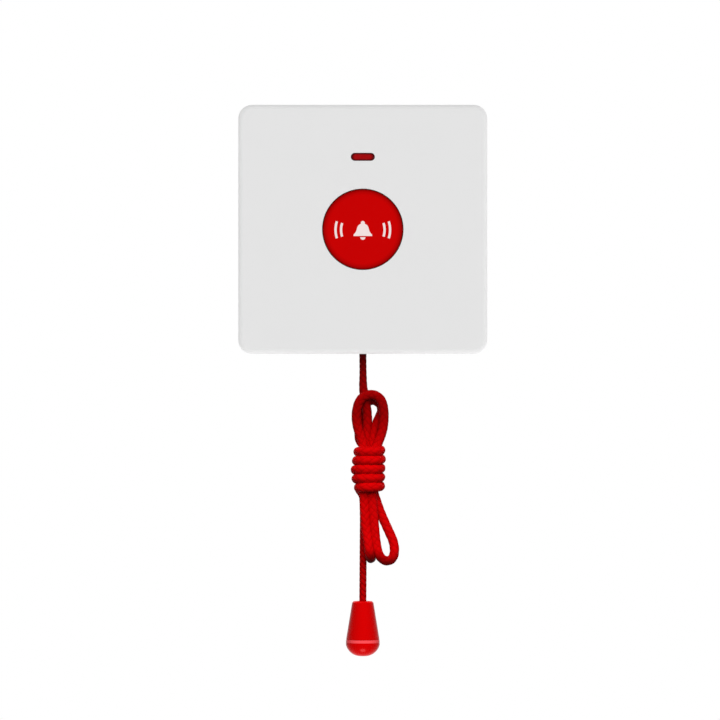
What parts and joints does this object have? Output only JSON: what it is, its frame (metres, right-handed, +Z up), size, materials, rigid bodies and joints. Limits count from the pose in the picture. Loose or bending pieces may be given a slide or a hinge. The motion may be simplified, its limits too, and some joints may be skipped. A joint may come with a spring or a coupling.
{
  "type": "wall call button with pull cord",
  "caption": "Square wall call point with a round red push button, a status light, and a red braided pull cord tied in a hank above a bell toggle.",
  "frame": {"origin": "centre of the back plate's rear face, on the wall plane", "axes": "+X to the right seen from the room, +Y into the wall, +Z up"},
  "size_m": [0.086, 0.0179, 0.1908],
  "materials": {
    "cover_plastic": "satin",
    "base_plastic": "matte",
    "guide_plastic": "satin",
    "button_red": "satin",
    "switch_black": "matte",
    "stem_plastic": "satin",
    "spring_steel": "polished",
    "lens_red": "gloss",
    "led_epoxy": "gloss",
    "board_green": "satin",
    "screw_steel": "satin",
    "shield_tin": "satin",
    "chip_black": "matte",
    "capacitor_sleeve": "gloss",
    "copper_wire": "polished",
    "battery_wrap": "gloss",
    "contact_nickel": "satin",
    "wire_black": "satin",
    "slider_plastic": "satin",
    "cord_red": "matte",
    "toggle_red": "gloss"
  },
  "bodies": {
    "housing": {"front_cover": "cover_plastic", "back_plate": "base_plastic", "cord_guide": "guide_plastic", "button_switch_body": "switch_black", "button_spring": "spring_steel", "led_lens": "lens_red", "status_led": "led_epoxy", "circuit_board": "board_green", "board_screws": "screw_steel", "radio_module": "shield_tin", "encoder_chip": "chip_black", "resonator": "shield_tin", "smoothing_capacitor": "capacitor_sleeve", "surface_resistors": "chip_black", "antenna_coil": "copper_wire", "battery": "battery_wrap", "battery_contact_positive": "contact_nickel", "battery_contact_negative": "contact_nickel", "battery_wire": "wire_black", "pull_spring": "spring_steel", "slider_retainer": "base_plastic", "retainer_screws": "screw_steel", "pull_switch_body": "switch_black"},
    "button": {"button_cap": "button_red", "button_switch_stem": "stem_plastic"},
    "slider": {"pull_slider": "slider_plastic", "pull_cord_inner": "cord_red"},
    "plunger": {"pull_switch_plunger": "stem_plastic"},
    "hanging_cord": {"pull_cord_upper": "cord_red", "cord_hank": "cord_red", "pull_cord_lower": "cord_red"},
    "toggle": {"toggle_body": "toggle_red", "toggle_cap": "toggle_red", "toggle_knot": "cord_red"}
  },
  "joints": [
    {"name": "button_press", "type": "slide", "parent": "housing", "child": "button", "axis": [0, 1, 0], "range_m": [0, 0.0012], "stiffness_N_per_m": 600, "springref_m": -0.0025, "deforming": ["button_spring"]},
    {"name": "cord_pull", "type": "slide", "parent": "housing", "child": "slider", "axis": [0, 0, -1], "range_m": [0, 0.004], "stiffness_N_per_m": 1500, "springref_m": -0.004, "deforming": ["pull_spring"]},
    {"name": "switch_press", "type": "slide", "parent": "housing", "child": "plunger", "axis": [1, 0, 0], "range_m": [0, 0.0005]},
    {"name": "cord_swing", "type": "hinge", "parent": "slider", "child": "hanging_cord", "pos_m": [0, -0.009, -0.043], "axis": [0, 1, 0], "range_deg": [-30, 30]},
    {"name": "toggle_swing", "type": "hinge", "parent": "hanging_cord", "child": "toggle", "pos_m": [0, -0.0071, -0.1298], "axis": [0, 1, 0], "range_deg": [-35, 35]}
  ],
  "couplings": [
    {"joint": "switch_press", "follows": "cord_pull", "ratio": 0.125}
  ]
}
